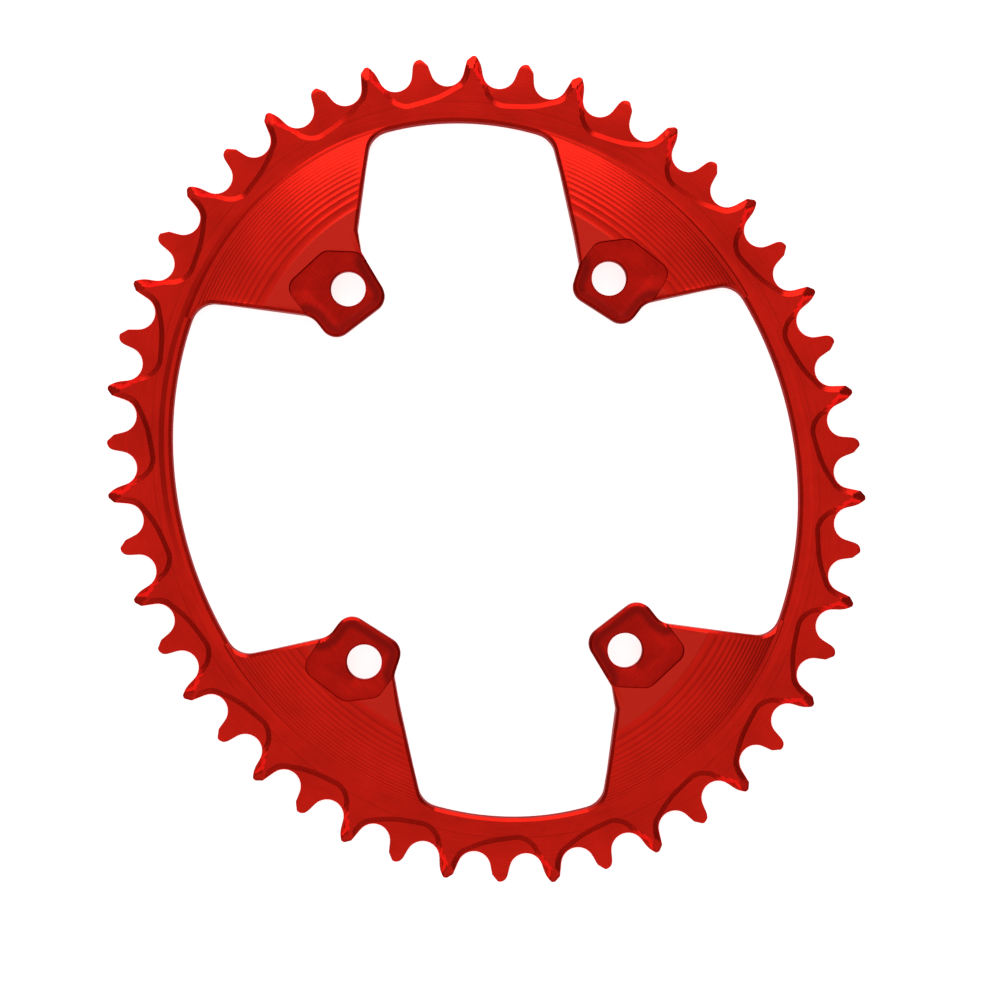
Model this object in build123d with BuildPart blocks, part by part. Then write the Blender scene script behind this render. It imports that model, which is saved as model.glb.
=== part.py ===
from build123d import *
import os
from math import atan, cos, degrees, pi, radians, sin, sqrt, tan

# Oval narrow-wide bicycle chainring for a four-arm crank, milled from one aluminium plate.
# The origin is on the axis of rotation, in the plane of the rim's back face, and +Z is the
# outer face. The bolts lie in pairs mirrored about X and Y. Lengths are in millimetres.

# Chain and pitch oval
chain_pitch = 12.7
tooth_count = 46
oval_ratio = 1.126  # long axis of the pitch oval over its short axis
oval_angle = 108.0  # direction of the long axis

# Tooth outline: heights above the line through the two roller seats beside the tooth,
# with the leading side towards the seat after it and the trailing side towards the one before
seat_radius = 4.06
flank_angle = 11.3
wide_height = 3.82
wide_tip_lead = 0.32
wide_tip_trail = 0.42
wide_lead_shoulder = 2.5
wide_trail_shoulder = 1.2
wide_bend = 2.75
wide_bend_trail = 1.32
narrow_height = 3.25
narrow_tip_lead = 0.5
narrow_tip_trail = 0.3
narrow_trail_shoulder = 1.5
narrow_bend = 2.7
narrow_bend_lead = 1.4
narrow_lead_shoulder = 1.75

# Tooth faces
rim_thickness = 4.0
narrow_thickness = 2.1
wide_bevel_start = 0.44
wide_bevel_slope = 0.5
narrow_bevel_centre = 1.0  # below the seat line
narrow_bevel_radius = 2.45
narrow_bevel_slope = 0.42
narrow_bevel_turn = 40.0  # angle between the flats of the bevel

# Recess that thins each narrow tooth: corners of its edge on the rim's face, from one wide
# tooth to the next, as distance along the pitch oval from that tooth and depth inside it
recess_wall = 1.08  # width in plan of the sloping wall
recess_lead = ((0.55, -1.0), (0.75, 2.0), (2.2, 4.1), (8.8, 7.7))
recess_trail = ((-8.8, 8.75), (-5.2, 7.9), (-3.2, 5.5), (0.1, 0.0), (0.1, -1.0))

# Rim and terraced front: depths inside the pitch oval and heights above the back
rim_depth = 12.65
rim_fillet = 5.5
fillet_lap = 0.1  # how far the arms' fillets run into the rim
cove_start = 9.4
cove_floor = 10.5
cove_drop = 0.4
plinth_height = 4.1
terrace_crest = 34.0
terrace_count = 8
land_height = 8.6

# Bolts and arms, in the frame of each bolt: near is towards the Y axis, far is away from it
bolt_circle = 110.0
bolt_spread = 70.0  # angle between the two bolts of the upper or the lower pair
bolt_hole = 8.4
arm_spread = 45.0  # angle of each arm side from the bolt's radius
tab_end = 8.2
tab_corner = 4.0
arm_corner = 5.0
broad_near_width = 6.06
broad_near_lean = 14.2
broad_near_shoulder = -0.62
broad_far_width = 9.95
broad_far_lean = 4.5
broad_far_shoulder = -0.42
slim_near_width = 6.38
slim_near_lean = 6.4
slim_near_shoulder = 7.6
slim_far_width = 10.9
slim_far_lean = 0.5
slim_far_shoulder = 0.06

# Bolt pocket and the hollow back
pocket_far = 11.9
pocket_far_top = 9.4
pocket_crest = (0.9, 10.6)
pocket_near = 8.5
pocket_near_top = (7.4, 5.2)
pocket_corner = 3.2
pocket_floor = 6.0
pocket_wall = 1.1  # height of the upright wall above the sloping one
pocket_slope = 2.6  # width in plan of the sloping wall
tab_back = 3.2
hollow_start = 13.5
hollow_end = 20.0

# Pitch oval: as long as the pitch circle of a round ring with as many teeth
oval_length = pi * chain_pitch / sin(pi / tooth_count)
flatness = ((oval_ratio - 1) / (oval_ratio + 1)) ** 2
oval_factor = 1 + 3 * flatness / (10 + sqrt(4 - 3 * flatness))
minor_radius = oval_length / (pi * (1 + oval_ratio) * oval_factor)
major_radius = minor_radius * oval_ratio
oval_plane = Plane.XY.rotated((0, 0, oval_angle))
pitch_oval = Edge.make_ellipse(major_radius, minor_radius, oval_plane)
lap_depth = rim_depth - fillet_lap
lap_oval = Edge.make_ellipse(major_radius - lap_depth, minor_radius - lap_depth, oval_plane)
tooth_step = oval_length / tooth_count

clear = 1.0  # how far a cutting shape reaches past the face it leaves
outside = wide_height + clear
recess_depth = (rim_thickness - narrow_thickness) / 2
middle = Plane.XY.offset(rim_thickness / 2)
terrace_step = (land_height - plinth_height) / terrace_count
skim = 0.2  # how far above the rim's face a tapered cutting shape starts
wide_teeth = range(1, tooth_count, 2)
narrow_teeth = range(0, tooth_count, 2)


def on_oval(distance, depth=0.0):
    """Point at a distance along the pitch oval and a depth inside it."""
    share = (distance / oval_length) % 1
    along = pitch_oval.tangent_at(share)
    return pitch_oval.position_at(share) + Vector(-along.Y, along.X) * depth


def oval(depth, mode=Mode.ADD):
    """Oval face at a depth inside the pitch oval, in the sketch that is open."""
    return Ellipse(major_radius - depth, minor_radius - depth, oval_angle, mode=mode)


def tooth_plane(tooth):
    """Plane between the two seats of a tooth: X runs back to the seat before, Y outward."""
    before = on_oval(tooth * tooth_step)
    after = on_oval((tooth + 1) * tooth_step)
    return Plane((before + after) / 2, x_dir=before - after, z_dir=(0, 0, 1))


def tooth_edges(tooth):
    """Draw the outline of one tooth, from foot to foot, and return its two feet."""
    plane = tooth_plane(tooth)
    lean = radians(flank_angle)
    half_pitch = (on_oval((tooth + 1) * tooth_step) - on_oval(tooth * tooth_step)).length / 2

    def at(across, height):
        return plane.from_local_coords(Vector(across, height))

    def flank(height):
        return half_pitch - seat_radius / cos(lean) - height * tan(lean)

    foot = half_pitch - seat_radius * cos(lean)
    foot_height = -seat_radius * sin(lean)
    trail_foot = at(foot, foot_height)
    lead_foot = at(-foot, foot_height)
    if tooth in wide_teeth:
        trail_start = at(flank(wide_trail_shoulder), wide_trail_shoulder)
        trail_bend = at(wide_bend_trail, wide_bend)
        trail_tip = at(wide_tip_trail, wide_height)
        lead_tip = at(-wide_tip_lead, wide_height)
        lead_shoulder = at(-flank(wide_lead_shoulder), wide_lead_shoulder)
        Polyline(trail_foot, trail_start, trail_bend, trail_tip, lead_tip, lead_shoulder, lead_foot)
    else:
        trail_shoulder = at(flank(narrow_trail_shoulder), narrow_trail_shoulder)
        trail_tip = at(narrow_tip_trail, narrow_height)
        lead_tip = at(-narrow_tip_lead, narrow_height)
        lead_bend = at(-narrow_bend_lead, narrow_bend)
        lead_shoulder = at(-flank(narrow_lead_shoulder), narrow_lead_shoulder)
        Polyline(trail_foot, trail_shoulder, trail_tip, lead_tip, lead_bend, lead_shoulder, lead_foot)
    return trail_foot, lead_foot


def recess_cutter(tooth):
    """Solid that mills the recess after a wide tooth into the front face."""
    start = (tooth + 0.5) * tooth_step
    end = start + 2 * tooth_step
    corners = [on_oval(start + along, depth) for along, depth in recess_lead]
    corners += [on_oval(end + along, depth) for along, depth in recess_trail]
    corners[0] += tooth_plane(tooth).y_dir * outside
    corners[-1] += tooth_plane(tooth + 2).y_dir * outside
    with BuildPart() as cutter:
        with BuildSketch(Plane.XY.offset(rim_thickness + skim)):
            with BuildLine():
                Polyline(*corners, close=True)
            make_face()
            offset(amount=recess_wall * skim / recess_depth, kind=Kind.INTERSECTION)
        extrude(amount=-recess_depth - skim, taper=degrees(atan(recess_wall / recess_depth)))
    return cutter.part


def bevel_section(start, end, face, slope):
    """Draw the section cut off a tooth by the bevels of its two faces, about its middle."""
    foot = face - slope * (end - start)
    Polygon((start, face), (end, foot), (end, rim_thickness), (start, rim_thickness), align=None)
    mirror(about=Plane.XZ)


def tab_side(width, lean, shoulder, side):
    """Corners of one side of an arm: at the tab's end, at its shoulder and past the rim."""
    root = width + (shoulder + tab_end) * tan(radians(lean))
    reach = bolt_circle / 2
    past = (root + reach * sin(radians(arm_spread)), shoulder + reach * cos(radians(arm_spread)))
    return [(side * width, -tab_end), (side * root, shoulder), (side * past[0], past[1])]


def bolt_plane(angle):
    """Plane of a bolt at an angle round the ring, with Y outward."""
    bolt = Vector(bolt_circle / 2, 0).rotate(Axis.Z, angle)
    return Plane(bolt, x_dir=(bolt.Y, -bolt.X, 0), z_dir=(0, 0, 1))


def arm_face(angle, broad):
    """Face of one arm with its bolt tab and its fillets at the rim, running out past the rim."""
    if broad:
        near = tab_side(broad_near_width, broad_near_lean, broad_near_shoulder, -1)
        far = tab_side(broad_far_width, broad_far_lean, broad_far_shoulder, 1)
    else:
        near = tab_side(slim_near_width, slim_near_lean, slim_near_shoulder, 1)
        far = tab_side(slim_far_width, slim_far_lean, slim_far_shoulder, -1)
    plane = bolt_plane(angle)
    rim_edge = plane.to_local_coords(lap_oval)
    with BuildSketch(plane) as face:
        with BuildLine():
            radii = [arm_corner, tab_corner, tab_corner, arm_corner]
            edge = FilletPolyline(*reversed(near), *far, radius=radii)
            Line(edge @ 1, edge @ 0)
        make_face()
        for corners in (near, far):
            shoulder, past = corners[1:]
            side = Edge.make_line(shoulder, past)
            arcs = Edge.make_constrained_arcs(side, rim_edge, radius=rim_fillet)
            corner = min(arcs, key=lambda arc: arc.arc_center.Y)
            with BuildLine():
                add(corner)
                Polyline(corner @ 1, past, corner @ 0)
            make_face()
    return face.sketch


def pocket_cutter(angle, broad):
    """Solid that mills the dished bolt pocket of one tab, open at the tab's free edges."""
    side = -1 if broad else 1
    bottom = -tab_end - pocket_slope - clear
    corners = [
        (-pocket_far, bottom),
        (-pocket_far, pocket_far_top),
        pocket_crest,
        pocket_near_top,
        (pocket_near, bottom),
    ]
    drop = land_height - pocket_wall - pocket_floor
    with BuildPart() as cutter:
        with BuildSketch(bolt_plane(angle).offset(pocket_floor)):
            with BuildLine():
                points = [(side * across, out) for across, out in corners]
                edge = FilletPolyline(*points, radius=pocket_corner)
                Line(edge @ 1, edge @ 0)
            make_face()
        extrude(amount=land_height - pocket_floor + clear)
        floor = cutter.faces().sort_by(Axis.Z)[0]
        chamfer(floor.edges(), pocket_slope, drop, reference=floor)
    return cutter.part


# Front surface: flat rim face, cove, and terraces that rise in even steps towards the bolts
with BuildPart() as front:
    with BuildSketch():
        oval(-outside)
    extrude(amount=rim_thickness)
    cove_height = rim_thickness - cove_drop
    with BuildSketch(Plane.XY.offset(rim_thickness)):
        oval(cove_start)
    with BuildSketch(Plane.XY.offset(cove_height)):
        oval(cove_floor)
    loft(ruled=True, mode=Mode.SUBTRACT)
    with BuildSketch(Plane.XY.offset(cove_height)):
        oval(cove_floor)
    for line in range(terrace_count + 1):
        with BuildSketch(Plane.XY.offset(plinth_height + line * terrace_step)):
            oval(terrace_crest - (terrace_crest - rim_depth) * sqrt(1 - line / terrace_count))
    loft(ruled=True)

# Hollow of the back, which sets the bolt tabs forward of the rim
with BuildPart() as hollow:
    slope = (hollow_end - hollow_start) / tab_back
    with BuildSketch(Plane.XY.offset(-clear)):
        oval(hollow_start - slope * clear)
    with BuildSketch(Plane.XY.offset(tab_back)):
        oval(hollow_end)
    loft(ruled=True)

# Bevel of a narrow tooth's tip: three flats round the tip on both faces
with BuildPart() as narrow_bevel:
    flats = []
    for turn in (-narrow_bevel_turn, 0, narrow_bevel_turn):
        outward = Vector(0, 1).rotate(Axis.Z, turn)
        flats.append(Plane((0, 0, 0), x_dir=outward, z_dir=(outward.Y, -outward.X, 0)))
    with BuildSketch(*flats):
        reach = narrow_bevel_centre + narrow_height + clear
        bevel_section(narrow_bevel_radius, reach, narrow_thickness / 2, narrow_bevel_slope)
    extrude(amount=narrow_bevel_radius, both=True)

# Recesses of the two faces
front_recesses = [recess_cutter(tooth) for tooth in wide_teeth]
back_recesses = [mirror(recess, about=middle) for recess in front_recesses]

# Bolts as angles round the ring, and whether the arm is the broad or the slim kind
bolts = []
for pair_angle in (90, 270):
    bolts.append((pair_angle - bolt_spread / 2, True))
    bolts.append((pair_angle + bolt_spread / 2, False))

with BuildSketch() as rim_face:
    oval(cove_start)
    oval(rim_depth, mode=Mode.SUBTRACT)

with BuildPart() as chainring:
    # Rim and arms, cut to the terraced front
    with BuildSketch():
        for angle, broad in bolts:
            add(arm_face(angle, broad))
        oval(cove_start, mode=Mode.INTERSECT)
        add(rim_face.sketch)
    extrude(amount=land_height)
    add(front.part, mode=Mode.INTERSECT)
    add(hollow.part, mode=Mode.SUBTRACT)

    # Toothed plate round the rim
    with BuildSketch():
        with BuildLine():
            feet = [tooth_edges(tooth) for tooth in range(tooth_count)]
            for tooth in range(tooth_count):
                seat_floor = on_oval(tooth * tooth_step, seat_radius)
                ThreePointArc(feet[tooth - 1][1], seat_floor, feet[tooth][0])
        make_face()
        oval(cove_start, mode=Mode.SUBTRACT)
    extrude(amount=rim_thickness)

    # Faces of the teeth
    add(front_recesses + back_recesses, mode=Mode.SUBTRACT)
    wide_planes = []
    for tooth in wide_teeth:
        plane = tooth_plane(tooth).offset(rim_thickness / 2)
        wide_planes.append(Plane(plane.origin, x_dir=plane.y_dir, z_dir=plane.x_dir))
    with BuildSketch(*wide_planes):
        bevel_section(wide_bevel_start, outside, rim_thickness / 2, wide_bevel_slope)
    extrude(amount=chain_pitch / 2, both=True, mode=Mode.SUBTRACT)
    narrow_places = [tooth_plane(tooth).offset(rim_thickness / 2) for tooth in narrow_teeth]
    with Locations(*narrow_places):
        with Locations((0, -narrow_bevel_centre)):
            add(narrow_bevel.part, mode=Mode.SUBTRACT)

    # Bolt pockets and holes
    add([pocket_cutter(angle, broad) for angle, broad in bolts], mode=Mode.SUBTRACT)
    with Locations(*[bolt_plane(angle).offset(pocket_floor) for angle, broad in bolts]):
        Hole(bolt_hole / 2, land_height)

chainring.part.label = "chainring"
os.makedirs("parts", exist_ok=True)
export_step(chainring.part, "parts/chainring.step")
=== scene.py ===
import logging
import math
from dataclasses import dataclass, field
from enum import Enum
from functools import cached_property, partial

import bmesh
import bpy
import numpy as np
from mathutils import Matrix


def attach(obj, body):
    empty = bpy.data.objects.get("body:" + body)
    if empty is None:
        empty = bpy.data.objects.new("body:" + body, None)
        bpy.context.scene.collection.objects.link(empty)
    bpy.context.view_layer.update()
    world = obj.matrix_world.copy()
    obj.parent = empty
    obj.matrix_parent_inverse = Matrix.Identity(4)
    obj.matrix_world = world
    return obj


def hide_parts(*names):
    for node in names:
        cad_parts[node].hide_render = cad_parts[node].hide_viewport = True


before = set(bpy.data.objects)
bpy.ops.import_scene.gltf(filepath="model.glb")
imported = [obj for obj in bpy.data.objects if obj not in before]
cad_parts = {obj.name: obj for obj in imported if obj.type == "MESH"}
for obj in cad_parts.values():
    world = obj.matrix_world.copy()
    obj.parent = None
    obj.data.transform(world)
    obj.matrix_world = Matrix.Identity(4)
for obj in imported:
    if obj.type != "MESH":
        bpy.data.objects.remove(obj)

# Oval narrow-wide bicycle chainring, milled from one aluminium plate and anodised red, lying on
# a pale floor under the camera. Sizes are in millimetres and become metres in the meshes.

log = logging.getLogger("chainring")
MM = 0.001
# Keeps a division from meeting zero.
TINY = 1e-12


def linear(hex_code: str) -> tuple[float, float, float, float]:
    """Turn an sRGB hex colour into linear RGBA.

    Args:
        hex_code: Colour such as "#aa2010".

    Returns:
        Linear red, green, blue and an alpha of 1.
    """
    srgb = np.array([int(hex_code[i:i + 2], 16) for i in (1, 3, 5)]) / 255
    red, green, blue = np.where(srgb <= 0.04045, srgb / 12.92, ((srgb + 0.055) / 1.055) ** 2.4)
    return float(red), float(green), float(blue), 1.0


def add_node(tree: bpy.types.NodeTree, kind: str, links: dict | None = None,
             **settings: object) -> bpy.types.Node:
    """Add a shader node with its settings and its inputs.

    Args:
        tree: Node tree that gets the node.
        kind: Blender's type name of the node.
        links: Input name or index to an output socket, or to a plain value.
        settings: Properties of the node itself.

    Returns:
        The new node.
    """
    node = tree.nodes.new(kind)
    for name, value in settings.items():
        setattr(node, name, value)
    for name, value in (links or {}).items():
        if isinstance(value, bpy.types.NodeSocket):
            tree.links.new(value, node.inputs[name])
        else:
            node.inputs[name].default_value = value
    return node


def unit(vectors: np.ndarray) -> np.ndarray:
    """Vectors of the same directions with a length of 1."""
    return vectors / np.linalg.norm(vectors, axis=-1, keepdims=True)


def raised(plan: np.ndarray, height: np.ndarray) -> np.ndarray:
    """Points with x and y from a plan, and heights as their z."""
    return np.concatenate([plan, height[..., None]], axis=-1)


def rounded_path(points: np.ndarray, cuts: np.ndarray, steps: int) -> np.ndarray:
    """Round the corners of an open path.

    Each inner corner becomes a parabola that leaves one leg and joins the other at the same
    distance from the corner.

    Args:
        points: Corners of the path, n by 2.
        cuts: Distance from each inner corner at which its curve starts, n - 2 values.
        steps: Points on each curve.

    Returns:
        The ends and the points of all curves, in order.
    """
    corner = points[1:-1]
    along = unit(np.diff(points, axis=0))
    start = (corner - along[:-1] * cuts[:, None])[:, None]
    end = (corner + along[1:] * cuts[:, None])[:, None]
    t = np.linspace(0, 1, steps)[None, :, None]
    curves = start * (1 - t) ** 2 + corner[:, None] * 2 * t * (1 - t) + end * t ** 2
    return np.concatenate([points[:1], curves.reshape(-1, 2), points[-1:]])


def filleted_path(points: np.ndarray, radii: np.ndarray, steps: int = 16) -> np.ndarray:
    """Fillet the corners of an open path with circular arcs.

    An arc of radius r in a corner that turns by an angle w touches both legs at r tan(w / 2).

    Args:
        points: Corners of the path, n by 2.
        radii: Radius at each inner corner, n - 2 values.
        steps: Points on each arc.

    Returns:
        The ends and the points of all arcs, in order.
    """
    along = unit(np.diff(points, axis=0))
    first, second = along[:-1], along[1:]
    cross = first[:, 0] * second[:, 1] - first[:, 1] * second[:, 0]
    turn = np.arctan2(cross, (first * second).sum(axis=1))
    start = points[1:-1] - first * (radii * np.tan(np.abs(turn) / 2))[:, None]
    side = np.stack([-first[:, 1], first[:, 0]], axis=1) * np.sign(turn)[:, None]
    angle = turn[:, None] * np.linspace(0, 1, steps)
    swing = np.abs(angle)[:, :, None]
    curves = start[:, None] + radii[:, None, None] * (
        first[:, None] * np.sin(swing) + side[:, None] * (1 - np.cos(swing)))
    return np.concatenate([points[:1], curves.reshape(-1, 2), points[-1:]])


def lengths_along(path: np.ndarray) -> np.ndarray:
    """Running length of a path at each of its points."""
    return np.concatenate([[0.0], np.cumsum(np.linalg.norm(np.diff(path, axis=0), axis=1))])


def sample_path(path: np.ndarray, at: np.ndarray) -> np.ndarray:
    """Points of a path at given running lengths."""
    run = lengths_along(path)
    return np.stack([np.interp(at, run, path[:, 0]), np.interp(at, run, path[:, 1])], axis=-1)


def resampled(path: np.ndarray, count: int) -> np.ndarray:
    """A given number of points at even steps along a path."""
    return sample_path(path, np.linspace(0, lengths_along(path)[-1], count))


def path_project(points: np.ndarray, path: np.ndarray) -> tuple[np.ndarray, np.ndarray]:
    """Least distance of each point from a path, and where on the path that is.

    Args:
        points: Points, any shape with a last axis of 2.
        path: Path, n by 2.

    Returns:
        Distances and running lengths of the nearest places, in the shape of the points.
    """
    flat = points.reshape(-1, 1, 2)
    start, leg = path[None, :-1], np.diff(path, axis=0)[None]
    share = ((flat - start) * leg).sum(axis=2) / np.maximum((leg ** 2).sum(axis=2), TINY)
    share = np.clip(share, 0, 1)
    away = np.linalg.norm(flat - start - leg * share[:, :, None], axis=2)
    run = lengths_along(path)[:-1] + share * np.linalg.norm(leg, axis=2)
    best = away.argmin(axis=1)[:, None]
    shape = points.shape[:-1]
    nearest = np.take_along_axis(away, best, 1).reshape(shape)
    return nearest, np.take_along_axis(run, best, 1).reshape(shape)


def path_distance(points: np.ndarray, path: np.ndarray) -> np.ndarray:
    """Least distance of each point from a path."""
    return path_project(points, path)[0]


def inside_polygon(points: np.ndarray, polygon: np.ndarray) -> np.ndarray:
    """Tell which points lie in a polygon, by counting the edges to the right of each.

    Args:
        points: Points, n by 2.
        polygon: Corners of the polygon, m by 2.

    Returns:
        True for each point inside.
    """
    start, end = polygon, np.roll(polygon, -1, axis=0)
    x, y = points[:, :1], points[:, 1:]
    spans = (start[:, 1] > y) != (end[:, 1] > y)
    rise = np.where(end[:, 1] == start[:, 1], TINY, end[:, 1] - start[:, 1])
    crossing = start[:, 0] + (y - start[:, 1]) * (end[:, 0] - start[:, 0]) / rise
    return (spans & (x < crossing)).sum(axis=1) % 2 == 1


def grid_faces(ids: np.ndarray, closed: bool = False) -> np.ndarray:
    """Quads between the rows and columns of a grid of vertex numbers.

    Args:
        ids: Vertex numbers, rows by columns.
        closed: Whether the last column joins the first.

    Returns:
        Faces, n by 4.
    """
    if closed:
        ids = np.concatenate([ids, ids[:, :1]], axis=1)
    corners = [ids[:-1, :-1], ids[:-1, 1:], ids[1:, 1:], ids[1:, :-1]]
    return np.stack(corners, axis=-1).reshape(-1, 4)


class MeshParts:
    """Collects grids of points and joins them into one mesh."""

    def __init__(self) -> None:
        """Start with no points and no faces."""
        self.points: list[np.ndarray] = []
        self.faces: list[np.ndarray] = []
        self.count = 0

    def add_points(self, points: np.ndarray) -> np.ndarray:
        """Store points of any grid shape and return their numbers in that shape."""
        flat = points.reshape(-1, 3)
        ids = np.arange(self.count, self.count + len(flat)).reshape(points.shape[:-1])
        self.points.append(flat)
        self.count += len(flat)
        return ids

    def add_grid(self, ids: np.ndarray, closed: bool = False) -> None:
        """Store the quads of a grid of vertex numbers."""
        self.faces.append(grid_faces(ids, closed))

    def make(self, name: str, merge: float) -> bpy.types.Object:
        """Put all parts into one object with merged doubles and faces pointing outwards.

        Args:
            name: Name of the object and its mesh.
            merge: Distance in millimetres under which points become one; an edge shorter than a
                quarter of it is dropped.

        Returns:
            The object, linked to the scene.
        """
        mesh = bpy.data.meshes.new(name)
        points = np.concatenate(self.points) * MM
        faces = np.concatenate(self.faces)
        mesh.from_pydata(points.tolist(), [], faces.tolist())
        work = bmesh.new()
        work.from_mesh(mesh)
        bmesh.ops.remove_doubles(work, verts=work.verts, dist=merge * MM)
        bmesh.ops.dissolve_degenerate(work, edges=work.edges, dist=merge * MM / 4)
        bmesh.ops.recalc_face_normals(work, faces=work.faces)
        work.to_mesh(mesh)
        work.free()
        piece = bpy.data.objects.new(name, mesh)
        bpy.context.scene.collection.objects.link(piece)
        return piece


@dataclass(frozen=True)
class PitchOval:
    """Oval along the rollers of the chain, with places as distance along it and depth inside."""

    pitch: float = 12.7
    teeth: int = 46
    ratio: float = 1.126
    turn: float = math.radians(108)
    table_points: int = 7201
    fit_steps: int = 8

    @cached_property
    def length(self) -> float:
        """Length of the oval: that of the pitch circle of a round ring with as many teeth."""
        return math.pi * self.pitch / math.sin(math.pi / self.teeth)

    @cached_property
    def step(self) -> float:
        """Distance along the oval from one seat to the next."""
        return self.length / self.teeth

    @cached_property
    def axes(self) -> tuple[float, float]:
        """Long and short radius, from Ramanujan's rule for the length of an ellipse."""
        flat = ((self.ratio - 1) / (self.ratio + 1)) ** 2
        factor = 1 + 3 * flat / (10 + math.sqrt(4 - 3 * flat))
        short = self.length / (math.pi * (1 + self.ratio) * factor)
        return short * self.ratio, short

    @cached_property
    def table(self) -> tuple[np.ndarray, np.ndarray]:
        """Parameter angles of the ellipse and the distance along it at each."""
        long, short = self.axes
        angle = np.linspace(0, 2 * math.pi, self.table_points)
        middle = (angle[1:] + angle[:-1]) / 2
        speed = np.hypot(long * np.sin(middle), short * np.cos(middle))
        run = np.concatenate([[0.0], np.cumsum(speed)])
        return angle, run * self.length / run[-1]

    def rotated(self, x: np.ndarray, y: np.ndarray, turn: float) -> np.ndarray:
        """Turn points about the axis of the ring."""
        cos, sin = math.cos(turn), math.sin(turn)
        return np.stack([x * cos - y * sin, x * sin + y * cos], axis=-1)

    def at(self, along: np.ndarray, depth: np.ndarray | float) -> np.ndarray:
        """Points at a distance along the oval and a depth inside it, measured along its normal.

        Args:
            along: Distances along the oval.
            depth: Depths inside the oval.

        Returns:
            Points with x and y on the last axis.
        """
        long, short = self.axes
        angle, run = self.table
        theta = np.interp(np.mod(along, self.length), run, angle)
        cos, sin = np.cos(theta), np.sin(theta)
        size = np.hypot(short * cos, long * sin)
        x = long * cos - depth * short * cos / size
        y = short * sin - depth * long * sin / size
        return self.rotated(x, y, self.turn)

    def locate(self, points: np.ndarray) -> tuple[np.ndarray, np.ndarray]:
        """Distance along the oval and depth inside it of given points.

        The foot of the normal is found by Newton's rule on the ellipse's parameter angle.

        Args:
            points: Points with x and y on the last axis.

        Returns:
            Distances along the oval and depths.
        """
        long, short = self.axes
        turned = self.rotated(points[..., 0], points[..., 1], -self.turn)
        x, y = turned[..., 0], turned[..., 1]
        theta = np.arctan2(y * long, x * short)
        for _ in range(self.fit_steps):
            cos, sin = np.cos(theta), np.sin(theta)
            away_x, away_y = long * cos - x, short * sin - y
            slope = -away_x * long * sin + away_y * short * cos
            speed = (long * sin) ** 2 + (short * cos) ** 2
            bend = speed - away_x * long * cos - away_y * short * sin
            theta = theta - slope / bend
        cos, sin = np.cos(theta), np.sin(theta)
        size = np.hypot(short * cos, long * sin)
        depth = ((long * cos - x) * short * cos + (short * sin - y) * long * sin) / size
        angle, run = self.table
        return np.interp(np.mod(theta, 2 * math.pi), angle, run), depth


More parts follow.
